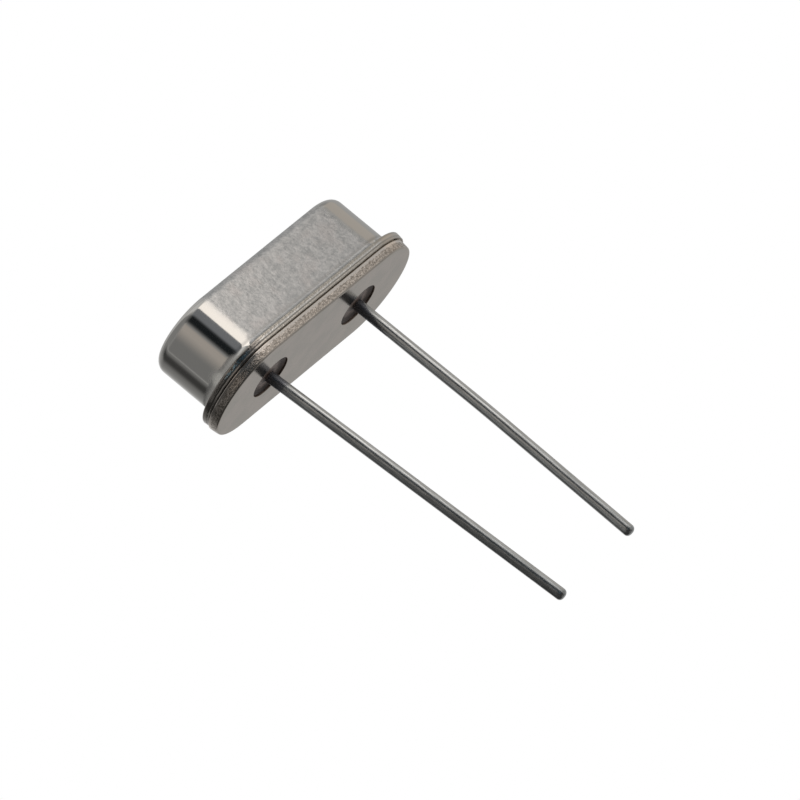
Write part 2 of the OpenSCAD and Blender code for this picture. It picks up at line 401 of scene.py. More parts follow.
@dataclass(frozen=True)
class StampedHeader:
    """Nickel-plated steel blank: a smooth face, and a sheared rim with a torn, sparkling grain.

    Attributes:
        rim: Heights at which the rim starts and is full.
        cut: Heights at which the rim's burnished cut starts and is full.
        wander: How far the cut's border wanders down and up.
        hole: Distances from a lead at which the wall of its hole fades and is gone.
        microns: Height of the torn grain and of the face's fine one.
    """

    face_light: str = "#dad0c6"
    face_dark: str = "#d0c9bf"
    rim_light: str = "#e3d9ce"
    rim_dark: str = "#9d948a"
    burnish: str = "#f5ece2"
    oxide: str = "#a08f82"
    face_rough: Pair = (0.17, 0.22)
    rim_rough: Pair = (0.15, 0.27)
    burnish_rough: float = 0.16
    hole_rough: float = 0.5
    rim: Pair = (0.03, 0.06)
    cut: Pair = (0.25, 0.3)
    wander: Pair = (-0.03, 0.03)
    hole: Pair = (HOLE_R + 0.004, HOLE_R + 0.02)
    tear: Triple = (0.1, 0.1, 0.09)
    cloud: float = 0.9
    fine: float = 0.06
    microns: Pair = (17.0, 0.12)

    def build(self) -> Material:
        """Makes the material.

        Returns:
            The material.
        """
        # To the eye: a smooth, faintly warm face that blurs what it mirrors, and a rim that glitters.
        recipe = Recipe("nickel_plated_steel_stamped")
        tear, fine = recipe.pattern(self.tear, 4, 0.7), recipe.pattern(self.fine, 3)
        rim = recipe.rise(recipe.z, *self.rim)
        border = recipe.add("Math", recipe.z, recipe.spread(tear, self.wander), operation="ADD")
        cut = recipe.rise(border, *self.cut)
        hole = recipe.fall(recipe.from_leads(), *self.hole)
        face = recipe.mottle(recipe.pattern(self.cloud, 3), self.face_dark, self.face_light)
        torn = recipe.mottle(tear, self.rim_dark, self.rim_light)
        rim_color = recipe.paint(cut, torn, self.burnish)
        rim_rough = recipe.add("Mix", cut, recipe.spread(tear, self.rim_rough), self.burnish_rough)
        rough = recipe.add("Mix", rim, recipe.spread(fine, self.face_rough), rim_rough)
        torn_part = recipe.add("Mix", cut, rim, 0.0)
        relief = recipe.relief(recipe.add("Mix", torn_part, EVEN, tear), self.microns[0])
        return recipe.finish(
            Metallic=1.0,
            Base_Color=recipe.layers(face, (rim, rim_color), (hole, self.oxide)),
            Roughness=recipe.add("Mix", hole, rough, self.hole_rough),
            Normal=recipe.relief(recipe.add("Mix", rim, fine, EVEN), self.microns[1], relief),
        )


@dataclass(frozen=True)
class SealingGlass:
    """Dark barium sealing glass, fused in a furnace: glossy, with faint clouds and a lighter ring midway,
    which is a painted reflection.

    Attributes:
        ring: Distances from a lead over which the lighter ring, a painted reflection, comes and goes.
        clouds: Values of the pattern between which the glass turns from dark to light.
        patchy: Low and high value of the pattern, and the ring's strength at each.
    """

    dark: str = "#2e211b"
    light: str = "#42352f"
    pale: str = "#857873"
    rough: float = 0.42
    ior: float = 1.52
    ring: tuple[Pair, Pair] = ((0.24, 0.4), (0.46, 0.72))
    clouds: Pair = (0.35, 0.7)
    patchy: Quad = (0.3, 0.65, 0.5, 1.0)
    cloud: float = 0.35
    dimple: float = 0.12
    microns: float = 0.8

    def build(self) -> Material:
        """Makes the material.

        Returns:
            The material.
        """
        # To the eye: a brown that is nearly black, with a soft gloss and a greyer ring midway to the wire,
        # which is a painted reflection.
        recipe = Recipe("sealing_glass_fused")
        cloud = recipe.pattern(self.cloud, 4)
        patchy = recipe.add("MapRange", cloud, *self.patchy, interpolation_type="SMOOTHSTEP")
        # Painted reflection: the lighter ring stands for light mirrored in the hollow meniscus.
        painted_sheen = recipe.times(recipe.band(recipe.from_leads(), *self.ring), patchy)
        color = recipe.mottle(cloud, self.dark, self.light, self.clouds)
        return recipe.finish(
            Base_Color=recipe.paint(painted_sheen, color, self.pale),
            Roughness=self.rough,
            IOR=self.ior,
            Normal=recipe.relief(recipe.pattern(self.dimple), self.microns),
        )


@dataclass(frozen=True)
class LeadWire:
    """Iron-nickel-cobalt wire, hot-dipped in tin, with dark oxide left bare beside the glass.

    Attributes:
        side: End of the row.
        bare_to: Height down to which the oxide is bare.
        bare_slope: How much higher the oxide ends for each millimetre along the lean.
        lean: Level direction of that, in X and Y.
        border: How far below and above that height the oxide starts and is full.
        wander: How far its border wanders down and up.
        base: Heights at which the duller tin beside the header starts and is full.
        microns: Height of the ripples and of the scratches.
    """

    side: Side
    bare_to: float
    bare_slope: float = 0.0
    light: str = "#e1e3e2"
    dark: str = "#babcba"
    oxide: str = "#94969c"
    rough: Pair = (0.2, 0.3)
    base_rough: float = 0.42
    oxide_rough: float = 0.4
    lean: Pair = (0.77, -0.64)
    border: Pair = (-0.12, 0.05)
    wander: Pair = (-0.08, 0.08)
    base: Pair = (-1.5, -0.3)
    ripple: Triple = (0.07, 0.07, 0.3)
    scratch: Triple = (0.025, 0.025, 1.1)
    microns: Pair = (1.6, 0.8)

    def build(self) -> Material:
        """Makes the material.

        Returns:
            The material.
        """
        # To the eye: long bright and dark lines down a silvery wire, dull and blue-grey beside the glass.
        recipe = Recipe(f"tinned_wire_dipped_{self.side.word}")
        ripple, scratch = recipe.pattern(self.ripple, 4, 0.6), recipe.pattern(self.scratch, 3)
        # The tin crept up unevenly: the oxide reaches further down on one side.
        from_wire = recipe.add("VectorMath", recipe.place, (self.side.x, 0.0, 0.0), operation="SUBTRACT")
        climb = (*(-self.bare_slope * way for way in self.lean), 1.0)
        height = recipe.add("VectorMath", from_wire, climb, operation="DOT_PRODUCT")
        height = recipe.add("Math", height, recipe.spread(ripple, self.wander), operation="ADD")
        bare = recipe.rise(height, *(self.bare_to + edge for edge in self.border))
        base = recipe.rise(recipe.z, *self.base)
        rough = recipe.add("Mix", base, recipe.spread(ripple, self.rough), self.base_rough)
        relief = recipe.relief(ripple, self.microns[0])
        return recipe.finish(
            Metallic=1.0,
            Base_Color=recipe.paint(bare, recipe.mottle(scratch, self.dark, self.light), self.oxide),
            Roughness=recipe.add("Mix", bare, rough, self.oxide_rough),
            Normal=recipe.relief(scratch, self.microns[1], relief),
        )


@dataclass(frozen=True)
class Grained:
    """Finish whose gloss and relief, and mostly its colour, follow one fine pattern.

    Attributes:
        name: Name of the real material and how it was made.
        dark: Colour at the pattern's lows.
        light: Colour at its highs.
        grain: Width of the pattern's features.
        detail: Octaves of the pattern.
        rough: Roughness at its lows and highs.
        microns: Height of the relief.
        span: Values of the pattern that count as its lows and highs.
        cloud: Width of a coarser pattern that sets the colour instead.
        more: Other inputs of the shader.
    """

    name: str
    dark: str
    light: str
    grain: float | Triple
    detail: float
    rough: Pair
    microns: float = 0.0
    span: Pair = (0.3, 0.7)
    cloud: float = 0.0
    more: dict[str, float] = field(default_factory=dict)

    def build(self) -> Material:
        """Makes the material.

        Returns:
            The material.
        """
        recipe = Recipe(self.name)
        grain = recipe.pattern(self.grain, self.detail)
        pattern = recipe.pattern(self.cloud, 3) if self.cloud else grain
        return recipe.finish(
            Base_Color=recipe.paint(pattern, self.dark, self.light),
            Roughness=recipe.spread(grain, self.rough, self.span),
            Normal=recipe.relief(grain, self.microns),
            **self.more,
        )


METAL = {"Metallic": 1.0}
# To the eye: a straw-tinted silver with faint straight lines, drawn wider than real ones so that they show.
CLIP_STRIP = Grained(
    "nickel_silver_strip_rolled", "#b9ab93", "#cdbfa6",
    grain=(1.2, 0.04, 1.2), detail=3, rough=(0.22, 0.36), microns=0.5, more=METAL,
)
# To the eye: frosted clear glass. The grit's pits are a few times wider here than real ones, to show.
LAPPED_QUARTZ = Grained(
    "quartz_lapped", "#f2f5f6", "#f2f5f6",
    grain=0.05, detail=2, rough=(0.3, 0.5), microns=0.6, more={"Transmission_Weight": 0.85, "IOR": 1.544},
)
# To the eye: a white metal glow without a clear reflection. The grit is as coarse as the quartz's, to show.
SILVER_FILM = Grained(
    "silver_evaporated", "#dedad0", "#f0eee8",
    grain=0.05, detail=2, rough=(0.24, 0.36), microns=0.5, cloud=0.6, more=METAL,
)
# To the eye: a dull grey paste with glinting specks, each drawn wider than a real flake so that it shows.
SILVER_EPOXY = Grained(
    "silver_epoxy_cured", "#6b6967", "#a5a39f",
    grain=0.05, detail=3, rough=(0.65, 0.35), microns=4.0, span=(0.35, 0.7), more={"Metallic": 0.45},
)
# To the eye: an even, pale sheet without any shine.
PAPER = Grained("paper_matt_white", "#eeedea", "#eeedea", grain=1.0, detail=2, rough=(0.85, 0.95))


# ---- Mesh tools ----


def node_box(node: str) -> list[Vector]:
    """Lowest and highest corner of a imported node, in millimetres."""
    return [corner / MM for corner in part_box(node)]


def arc(center: Pair, radius: float, start: float, end: float, steps: int = 8) -> list[Pair]:
    """Points along an arc of a section, between two angles in degrees from outward to up."""
    angles = (math.radians(start + (end - start) * i / steps) for i in range(steps + 1))
    return [(center[0] + radius * math.cos(a), center[1] + radius * math.sin(a)) for a in angles]


def supported(points: Sequence[Pair]) -> list[Pair]:
    """Adds a point just inside both ends of each long straight, so that it shades flat.

    Args:
        points: Section in order.

    Returns:
        The section with the added points.
    """
    result = [points[0]]
    for (r0, z0), (r1, z1) in zip(points, points[1:]):
        length = math.hypot(r1 - r0, z1 - z0)
        if length > 4 * HOLD:
            for part in (HOLD / length, 1 - HOLD / length):
                result.append((r0 + (r1 - r0) * part, z0 + (z1 - z0) * part))
        if length > SAME_POINT:
            result.append((r1, z1))
    return result


def ring_of(bm: BMesh, points: Iterable[Pair], z: float) -> Ring:
    """Adds a level ring of vertices, from millimetres."""
    return [bm.verts.new((x * MM, y * MM, z * MM)) for x, y in points]


def skin(bm: BMesh, rings: Sequence[Ring], closed: bool = False) -> Sequence[Ring]:
    """Joins neighbouring rings with quads, and gives them back.

    Args:
        bm: Mesh in the making.
        rings: Rings in order.
        closed: Whether the last one is joined to the first.

    Returns:
        The rings.
    """
    for low, high in zip(rings, [*rings[1:], *(rings[:1] if closed else ())]):
        for i in range(len(low)):
            j = (i + 1) % len(low)
            bm.faces.new((low[i], low[j], high[j], high[i]))
    return rings


def turned(bm: BMesh, x: float, section: Sequence[Pair], closed: bool = False) -> Sequence[Ring]:
    """Turns a section of (distance, height) about an upright line.

    Args:
        bm: Mesh in the making.
        x: Place of the line along X.
        section: Points in order.
        closed: Whether the last one is joined to the first.

    Returns:
        The rings.
    """
    turns = [2 * math.pi * i / ROUND_STEPS for i in range(ROUND_STEPS)]
    rings = [ring_of(bm, [(x + r * math.cos(a), r * math.sin(a)) for a in turns], z) for r, z in section]
    return skin(bm, rings, closed)


@dataclass(frozen=True)
class Stadium:
    """Level outline of two half rounds joined by straight sides.

    Attributes:
        shift: Offset along Y.
        arc_steps: Steps round each end.
        flat_steps: Steps along each side.
    """

    shift: float = 0.0
    arc_steps: int = 72
    flat_steps: int = 40

    def ring(self, reach: float) -> list[Pair]:
        """Outline at a distance from the centre line.

        Args:
            reach: The distance.

        Returns:
            Its points in order.
        """
        half = END_PITCH / 2
        points = []
        for end, first in ((1, -90.0), (-1, 90.0)):
            for i in range(self.arc_steps + 1):
                a = math.radians(first + 180 * i / self.arc_steps)
                points.append((end * half + reach * math.cos(a), self.shift + reach * math.sin(a)))
            for i in range(1, self.flat_steps):
                points.append((end * half * (1 - 2 * i / self.flat_steps), self.shift + end * reach))
        return points

    def sweep(self, bm: BMesh, section: Sequence[Pair], closed: bool = False) -> Sequence[Ring]:
        """Carries a section of (distance from the centre line, height) round the outline."""
        return skin(bm, [ring_of(bm, self.ring(reach), z) for reach, z in section], closed)


def stand(name: str, data: bpy.types.ID) -> bpy.types.Object:
    """Puts a mesh, lamp or camera into the scene.

    Args:
        name: Name of the new object.
        data: What it shows.

    Returns:
        The object.
    """
    thing = bpy.data.objects.new(name, data)
    bpy.context.scene.collection.objects.link(thing)
    return thing


def make_piece(bm: BMesh, name: str, node: str, finish: Material) -> None:
    """Turns a mesh in the making into a smooth-shaded piece that stands for a CAD node.

    Args:
        bm: Mesh in the making, which is freed.
        name: Name of the piece.
        node: CAD node that it replaces.
        finish: Material.
    """
    bmesh.ops.remove_doubles(bm, verts=bm.verts, dist=SAME_VERTEX)
    bmesh.ops.recalc_face_normals(bm, faces=bm.faces)
    for face in bm.faces:
        face.smooth = True
    mesh = bpy.data.meshes.new(name)
    bm.to_mesh(mesh)
    bm.free()
    mesh.materials.append(finish)
    piece = stand(name, mesh)
    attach(piece, BODY)
    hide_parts(node)
    log.info("%s: %d faces", name, len(mesh.polygons))


# ---- Pieces ----


@dataclass
class Can:
    """Drawn can: flat top, rounded top edge, upright wall and out-turned flange.

    Attributes:
        wall_out: Outside of the wall from the centre line.
        wall: Sheet thickness.
        top_r: Radius of the top edge.
        foot_r: Fillet above the flange.
        mouth_r: Rounding below the flange, where the wall turns out.
        flange_top_r: Rounding of the flange's upper edge.
        score: Section of the trimmed edge below its upright face, down to the burr that hangs from it, as
            (in from the edge, up from the underside).
        crown: How far the middle of each broad side bulges.
        flank: Share of the way out to that side from which the bulge counts.
        dome: How much lower the top's edge lies than its middle.
        corner: How much tighter the fillet is at the four corners, their bearing in degrees, and how soon
            that fades towards the flats and towards the ends.
        rag: How far the torn edge below the score wanders, and over what length.
        rag_apart: Step in its pattern, so that it wanders in and out apart from up and down.
        torn: How far in from the edge the torn edge starts and ends, and how far up it reaches.
        steps: Steps round each end and along each side.
    """

    finish: Material
    wall_out: float = 1.75
    wall: float = 0.25
    top_r: float = 0.42
    foot_r: float = 0.3
    mouth_r: float = 0.33
    flange_top_r: float = 0.06
    score: Sequence[Pair] = (
        (0.012, 0.064), (0.019, 0.053), (0.037, 0.038), (0.021, 0.026),
        (0.029, -0.04), (0.033, -0.044), (0.06, -0.044), (0.08, 0.0),
    )
    crown: float = 0.03
    flank: float = 0.5
    dome: float = 0.018
    corner: Quad = (0.55, 12.5, 4.0, 4.2)
    rag: Pair = (0.004, 0.2)
    rag_apart: Triple = (7.0, 3.0, 4.0)
    torn: Triple = (0.07, 0.015, 0.06)
    steps: tuple[int, int] = (108, 96)

    def __post_init__(self) -> None:
        """Takes the heights, the flange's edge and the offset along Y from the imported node's box."""
        low, high = node_box("can")
        self.low, self.top, self.shift = low.z, high.z, (low.y + high.y) / 2
        self.edge = high.x - END_PITCH / 2
        self.flange_top = low.z + self.wall
        self.foot = self.flange_top + self.foot_r

    def section(self) -> list[Pair]:
        """Lays out the sheet's section, from the top's middle over the outside and back inside.

        Returns:
            Its points as (distance from the centre line, height).
        """
        top_r, foot_r, edge_r, mouth_r = self.top_r, self.foot_r, self.flange_top_r, self.mouth_r
        wall_in, inner_r, ceiling = self.wall_out - self.wall, top_r - self.wall, self.top - self.wall
        return supported([
            (0.0, self.top),
            *arc((self.wall_out - top_r, self.top - top_r), top_r, 90, 0, 16),
            *arc((self.wall_out + foot_r, self.foot), foot_r, 180, 270, 16),
            *arc((self.edge - edge_r, self.flange_top - edge_r), edge_r, 90, 0),
            *((self.edge - inset, self.low + up) for inset, up in self.score),
            *arc((wall_in + mouth_r, self.low + mouth_r), mouth_r, 270, 180, 12),
            *arc((wall_in - inner_r, ceiling - inner_r), inner_r, 0, 90),
            (0.0, ceiling),
        ])

    def build(self) -> None:
        """Builds the can."""
        bm = bmesh.new()
        Stadium(self.shift, *self.steps).sweep(bm, self.section())
        self.bulge(bm)
        self.fray(bm)
        make_piece(bm, "drawn_can", "can", self.finish)

    def tighter(self, beyond: float, aside: float) -> float:
        """Share of the fillet's width that is taken back at a place round the can.

        Args:
            beyond: Distance along X from the start of the round end.
            aside: Distance across from the centre line.

        Returns:
            The share.
        """
        turn = math.atan2(beyond, aside) if beyond > 0 else beyond / self.wall_out
        much, middle, near, far = self.corner
        past = math.degrees(turn) - middle
        return much * math.exp(-((past / (far if past > 0 else near)) ** 2))

    def bulge(self, bm: BMesh) -> None:
        """Bows the broad sides and the lid out, as drawn sheet springs, and irons the corners' fillets.

        Args:
            bm: Mesh in the making.
        """
        half, tall = END_PITCH / 2, self.top - self.foot
        for vert in bm.verts:
            x, y, z = (c / MM for c in vert.co)
            beyond, aside = max(0.0, abs(x) - half), y - self.shift
            reach, across = math.hypot(beyond, aside), abs(aside) / self.wall_out
            up = (z - self.foot) / tall
            if abs(x) < half and up > 0 and across > self.flank:
                bow = (1 - (x / half) ** 2) * math.sin(math.pi * min(1.0, up)) * across
                vert.co.y += math.copysign(self.crown * bow, aside) * MM
            if 0 < reach - self.wall_out < self.foot_r + SLACK and self.flange_top < z < self.foot:
                tight = self.tighter(abs(x) - half, abs(aside))
                back = (reach - self.wall_out) * tight / reach * MM
                vert.co.x -= math.copysign(beyond * back, x)
                vert.co.y -= aside * back
                vert.co.z -= (z - self.flange_top) * tight * MM
            out = min(1.0, reach / (self.wall_out - self.top_r))
            vert.co.z -= self.dome * out * out * (3 - 2 * out) * max(0.0, up) ** 2 * MM

    def fray(self, bm: BMesh) -> None:
        """Lets the torn edge below the score wander, as shears leave it.

        Args:
            bm: Mesh in the making.
        """
        reach, length = self.rag
        inner, outer, above = self.torn
        for vert in bm.verts:
            x, y, z = (c / MM for c in vert.co)
            out = math.hypot(max(0.0, abs(x) - END_PITCH / 2), y - self.shift)
            if self.edge - inner < out < self.edge - outer and z < self.low + above:
                spot = Vector((x, y, 0.0)) / length
                aside = spot + Vector((*self.rag_apart[:2], z * self.rag_apart[2]))
                vert.co.z += reach * max(-1.0, min(1.0, 2 * noise.noise(spot))) * MM
                vert.co.xy *= 1 - reach * (0.5 + noise.noise(aside)) / out


@dataclass
class Header:
    """Stamped header: rim under the flange, island inside the can, and two holes for the seals.

    Attributes:
        rim_t: Thickness of the rim.
        low_r: Rounding of the rim's lower edge.
        top_r: Rounding of the rim's upper edge.
        taper: How much narrower the rim is at its foot than at its top.
        island: Distance of the island's side from the centre line.
        island_r: Rounding of the island's upper edge.
        land: Width of the level strip round each hole on the island.
        bead: Where the weld bead starts and ends from the can's centre line.
        bead_rise: How far it reaches below and above the rim's top.
        hole_roll: Rounding of the holes' lower edge.
    """

    finish: Material
    rim_t: float = 0.38
    low_r: float = 0.06
    top_r: float = 0.018
    taper: float = 0.036
    island: float = 1.3
    island_r: float = 0.1
    land: float = 0.04
    bead: Pair = (1.85, 1.95)
    bead_rise: Pair = (-0.03, 0.05)
    hole_roll: float = 0.02

    def __post_init__(self) -> None:
        """Takes the rim's edge and the island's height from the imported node's box."""
        high = node_box("header")[1]
        self.edge, self.top = high.x - END_PITCH / 2, high.z

    def outside(self) -> list[Pair]:
        """Lays out the section from the underside round the rim and up to the island's top.

        Returns:
            Its points as (distance from the centre line, height).
        """
        foot = self.edge - self.taper - self.low_r
        shoulder = (self.island - self.island_r, self.top - self.island_r)
        return supported([
            (foot - HOLD, 0.0),
            *arc((foot, self.low_r), self.low_r, -90, -4),
            *arc((self.edge - self.top_r, self.rim_t - self.top_r), self.top_r, 0, 90, 10),
            (self.island, self.rim_t),
            *arc(shoulder, self.island_r, 0, 90, 6),
            (shoulder[0] - HOLD, self.top),
        ])

    def hole(self) -> list[Pair]:
        """Lays out the section of a hole's wall, from the underside to the island's top.

        Returns:
            Its points as (distance from the hole's middle, height).
        """
        roll = self.hole_roll
        upper = ((HOLE_R, self.top - HOLD), (HOLE_R, self.top), (HOLE_R + self.land, self.top))
        return [(HOLE_R + roll + HOLD, 0.0), *arc((HOLE_R + roll, roll), roll, 270, 180, 5), *upper]

    def build(self) -> None:
        """Builds the header, with a level face below and above, and the bead that the can is welded to."""
        bm = bmesh.new()
        swept = [Stadium().sweep(bm, self.outside()), *(turned(bm, side.x, self.hole()) for side in Side)]
        for end in (0, -1):
            pairs = [pair for rings in swept for pair in zip(rings[end], rings[end][1:] + rings[end][:1])]
            edges = [bm.edges.get(pair) or bm.edges.new(pair) for pair in pairs]
            bmesh.ops.triangle_fill(bm, use_beauty=True, use_dissolve=False, edges=edges)
        low, high = node_box("can")
        (start, end), (root, top) = self.bead, (self.rim_t + rise for rise in self.bead_rise)
        inner = ((start, root), (start, top - HOLD), (start + HOLD, top))
        outer = ((end - HOLD, top), (end, top - HOLD), (end, root))
        Stadium((low.y + high.y) / 2).sweep(bm, (*inner, *outer), closed=True)
        make_piece(bm, "stamped_header", "header", self.finish)


@dataclass
class Seal:
    """Glass bead in a header hole, with a hollow meniscus at each end.

    Attributes:
        hollow: Depth of the meniscus.
    """

    finish: Material
    side: Side
    hollow: float = 0.09

    def build(self) -> None:
        """Builds the seal between its lead and its hole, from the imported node's box."""
        node = f"glass_seal_{self.side.word}"
        low, high = node_box(node)
        half = (HOLE_R - LEAD_R) / 2
        radius = (half * half + self.hollow * self.hollow) / (2 * self.hollow)
        spread = math.degrees(math.asin(half / radius))
        under = arc((LEAD_R + half, low.z + self.hollow - radius), radius, 90 + spread, 90 - spread, 20)
        over = arc((LEAD_R + half, high.z - self.hollow + radius), radius, 270 + spread, 270 - spread, 20)
        bm = bmesh.new()
        turned(bm, self.side.x, [*under, *over], closed=True)
        make_piece(bm, f"glass_bead_{self.side.word}", node, self.finish)


@dataclass
class Lead:
    """Round wire through the glass, with a flattened head inside and a rounded tip outside.

    Attributes:
        length: Length below the header.
        turns: Depth below the header and inward lean in degrees from there on, in order.
        tip_r: Rounding of the tip.
        head: Radius and thickness of the flattened head.
        guard: Distance of the rings that keep the wire straight beside its head and its first turn.
        stride: Distance between the rings further down.
        steps: Steps round the wire.
    """

    finish: Material
    side: Side
    length: float
    turns: Sequence[Pair]
    tip_r: float = 0.16
    head: Pair = (0.34, 0.12)
    guard: float = 0.03
    stride: float = 0.1
    steps: int = 48

    def lean_at(self, depth: float) -> float:
        """Lean of the wire, which changes evenly between the turns.

        Args:
            depth: Depth along the wire.

        Returns:
            The inward lean in degrees.
        """
        before = (0.0, 0.0)
        for turn in self.turns:
            if depth < turn[0]:
                part = (depth - before[0]) / (turn[0] - before[0])
                return before[1] + (turn[1] - before[1]) * part
            before = turn
        return before[1]

    def stations(self, top: float) -> list[Quad]:
        """Lays out the rings along the wire.

        Args:
            top: Height of the head's top.

        Returns:
            Inward x, z, lean and radius of each ring, from the head's top to the tip.
        """
        head_r, neck = self.head[0], top - self.head[1]
        crown = ((top, 0.0), (top, head_r - HOLD), (top - HOLD, head_r))
        below = ((neck + HOLD, head_r), (neck, head_r - HOLD))
        shank = ((z, LEAD_R) for z in (neck, neck - self.guard, self.guard, 0.0))
        result = [(0.0, z, 0.0, radius) for z, radius in (*crown, *below, *shank)]
        x = z = lean = 0.0
        count = round((self.length - self.tip_r) / self.stride)
        step = (self.length - self.tip_r) / count
        for i in range(count):
            lean = math.radians(self.lean_at((i + 0.5) * step))
            x, z = x + step * math.sin(lean), z - step * math.cos(lean)
            result.append((x, z, lean, LEAD_R))
        for reach, radius in arc((0.0, LEAD_R - self.tip_r), self.tip_r, 90, 0)[1:]:
            result.append((x + reach * math.sin(lean), z - reach * math.cos(lean), lean, radius))
        return result + [(*result[-1][:3], radius) for radius in (LEAD_R - self.tip_r - HOLD, 0.0)]

    def build(self) -> None:
        """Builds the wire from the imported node's box."""
        node, inward = f"lead_{self.side.word}", -self.side.value
        turns = [2 * math.pi * i / self.steps for i in range(self.steps)]
        bm = bmesh.new()
        rings = []
        for x, z, lean, radius in self.stations(node_box(node)[1].z):
            across = Vector((inward * math.cos(lean), 0.0, math.sin(lean)))
            middle = Vector((self.side.x + inward * x, 0.0, z))
            spokes = (across * math.cos(a) + Vector((0.0, math.sin(a), 0.0)) for a in turns)
            rings.append([bm.verts.new((middle + spoke * radius) * MM) for spoke in spokes])
        skin(bm, rings)
        make_piece(bm, f"wire_lead_{self.side.word}", node, self.finish)


@dataclass(frozen=True)
class SealedParts:
    """What the can hides: these keep their CAD meshes and get their finishes.

    Attributes:
        finishes: Each finish with the nodes that it goes on.
    """

    finishes: Sequence[tuple[Grained, Sequence[str]]] = (
        (CLIP_STRIP, ("clip_left", "clip_right")),
        (LAPPED_QUARTZ, ("quartz_blank",)),
        (SILVER_FILM, ("electrode_upper", "electrode_lower")),
        (SILVER_EPOXY, ("adhesive_left", "adhesive_right")),
    )

    def dress(self, nodes: dict[str, bpy.types.Object]) -> None:
        """Gives each inner node its material.

        Args:
            nodes: CAD objects by node name.
        """
        for grained, names in self.finishes:
            finish = grained.build()
            for name in names:
                materials = nodes[name].data.materials
                materials.clear()
                materials.append(finish)
                log.info("%s: %s", name, finish.name)


# ---- Studio ----


def bearing(azimuth: float, elevation: float) -> Vector:
    """Unit direction, so many degrees from -Y towards +X and above the horizon."""
    a, e = math.radians(azimuth), math.radians(elevation)
    return Vector((math.sin(a) * math.cos(e), -math.cos(a) * math.cos(e), math.sin(e)))


@dataclass(frozen=True)
class Shot:
    """Long lens from below the header's side, rolled so that the leads run down to the right.

    Attributes:
        azimuth: Degrees from -Y towards +X.
        elevation: Degrees above the horizon.
        roll: Turn about the line of sight, in degrees.
        distance: From the part's origin to the camera's plane, in millimetres.
        lens: Focal length for the sensor's width.
        sensor: Width of the sensor.
        offset: How far the middle of the frame lies from the origin, in millimetres right and up.
        clip: Nearest and furthest distance that is drawn, in metres.
    """

    azimuth: float = -39.818
    elevation: float = -12.694
    roll: float = -50.337
    distance: float = 315.25
    lens: float = 420.71
    sensor: float = 36.0
    offset: Pair = (2.88, -1.989)
    clip: Pair = (0.01, 10.0)

    def build(self) -> None:
        """Makes the camera."""
        back = bearing(self.azimuth, self.elevation)
        level = bearing(self.azimuth + 90, 0.0)
        turn = math.radians(self.roll)
        right = level * math.cos(turn) + back.cross(level) * math.sin(turn)
        up = back.cross(right)
        data = bpy.data.cameras.new("camera")
        data.lens, data.sensor_width = self.lens, self.sensor
        data.clip_start, data.clip_end = self.clip
        camera = stand("camera", data)
        spot = right * self.offset[0] + up * self.offset[1] + back * self.distance
        camera.matrix_world = Matrix.Translation(spot * MM) @ Matrix((right, up, back)).transposed().to_4x4()
        bpy.context.scene.camera = camera


@dataclass(frozen=True)
class Board:
    """Curved board of the light tent, which only the metal and the glass mirror.

    Attributes:
        name: Name of the board.
        radius: Distance from the part in metres.
        azimuth: First and last bearing in degrees.
        elevation: Lowest and highest bearing in degrees.
        level: Brightness, where 1 is white.
        soft: Width of the fade at the first, last, lower and upper edge, in degrees.
        tone: Colour of the cloth.
        lean: Shift of its bearing for each degree above the horizon.
        mesh_step: Degrees that a face of its mesh covers across and up.
        fewest: Fewest faces across or up.
        hard: Width of an edge that doesn't fade, as a share of the board.
    """

    name: str
    radius: float
    azimuth: Pair
    elevation: Pair
    level: float
    soft: Quad
    tone: str = "#ffffff"
    lean: float = 0.0
    mesh_step: Pair = (3.0, 4.0)
    fewest: int = 4
    hard: float = 1e-4

    def build(self) -> None:
        """Makes the board."""
        (first, last), (low, high) = self.azimuth, self.elevation
        sizes = zip((last - first, high - low), self.mesh_step)
        across, rows = (max(self.fewest, round(size / step)) for size, step in sizes)
        mesh = bpy.data.meshes.new(self.name)
        bm = bmesh.new()
        layer = bm.loops.layers.uv.new("UVMap")
        grid = []
        for j in range(rows + 1):
            e = low + (high - low) * j / rows
            turns = (first + (last - first) * i / across + self.lean * e for i in range(across + 1))
            grid.append([bm.verts.new(bearing(turn, e) * self.radius) for turn in turns])
        for j in range(rows):
            for i in range(across):
                corners = ((i, j), (i + 1, j), (i + 1, j + 1), (i, j + 1))
                face = bm.faces.new([grid[v][u] for u, v in corners])
                for loop, (u, v) in zip(face.loops, corners):
                    loop[layer].uv = (u / across, v / rows)
        bm.to_mesh(mesh)
        bm.free()
        mesh.materials.append(self.cloth())
        board = stand(self.name, mesh)
        for kind in ("camera", "diffuse", "transmission", "volume_scatter", "shadow"):
            setattr(board, f"visible_{kind}", False)

    def cloth(self) -> Material:
        """Makes the glowing cloth, which fades out at its edges.

        Returns:
            The material.
        """
        material = bpy.data.materials.new(self.name)
        material.use_nodes = True
        graph = Graph(material.node_tree)
        graph.tree.nodes.clear()
        across, up, _ = graph.add("SeparateXYZ", graph.add("UVMap")).node.outputs
        masks = []
        for way, ends, fades in ((across, self.azimuth, self.soft[:2]), (up, self.elevation, self.soft[2:])):
            near, far = (max(fade / (ends[1] - ends[0]), self.hard) for fade in fades)
            masks.append(graph.band(way, (0.0, near), (1.0 - far, 1.0)))
        glow = graph.add("Emission", linear(self.tone), self.level)
        cloth = graph.add("MixShader", graph.times(*masks), graph.add("BsdfTransparent"), glow)
        graph.add("OutputMaterial", cloth)
        return material


# Lowest and highest bearing of the boards in front.
FRONT = (-30, 55)
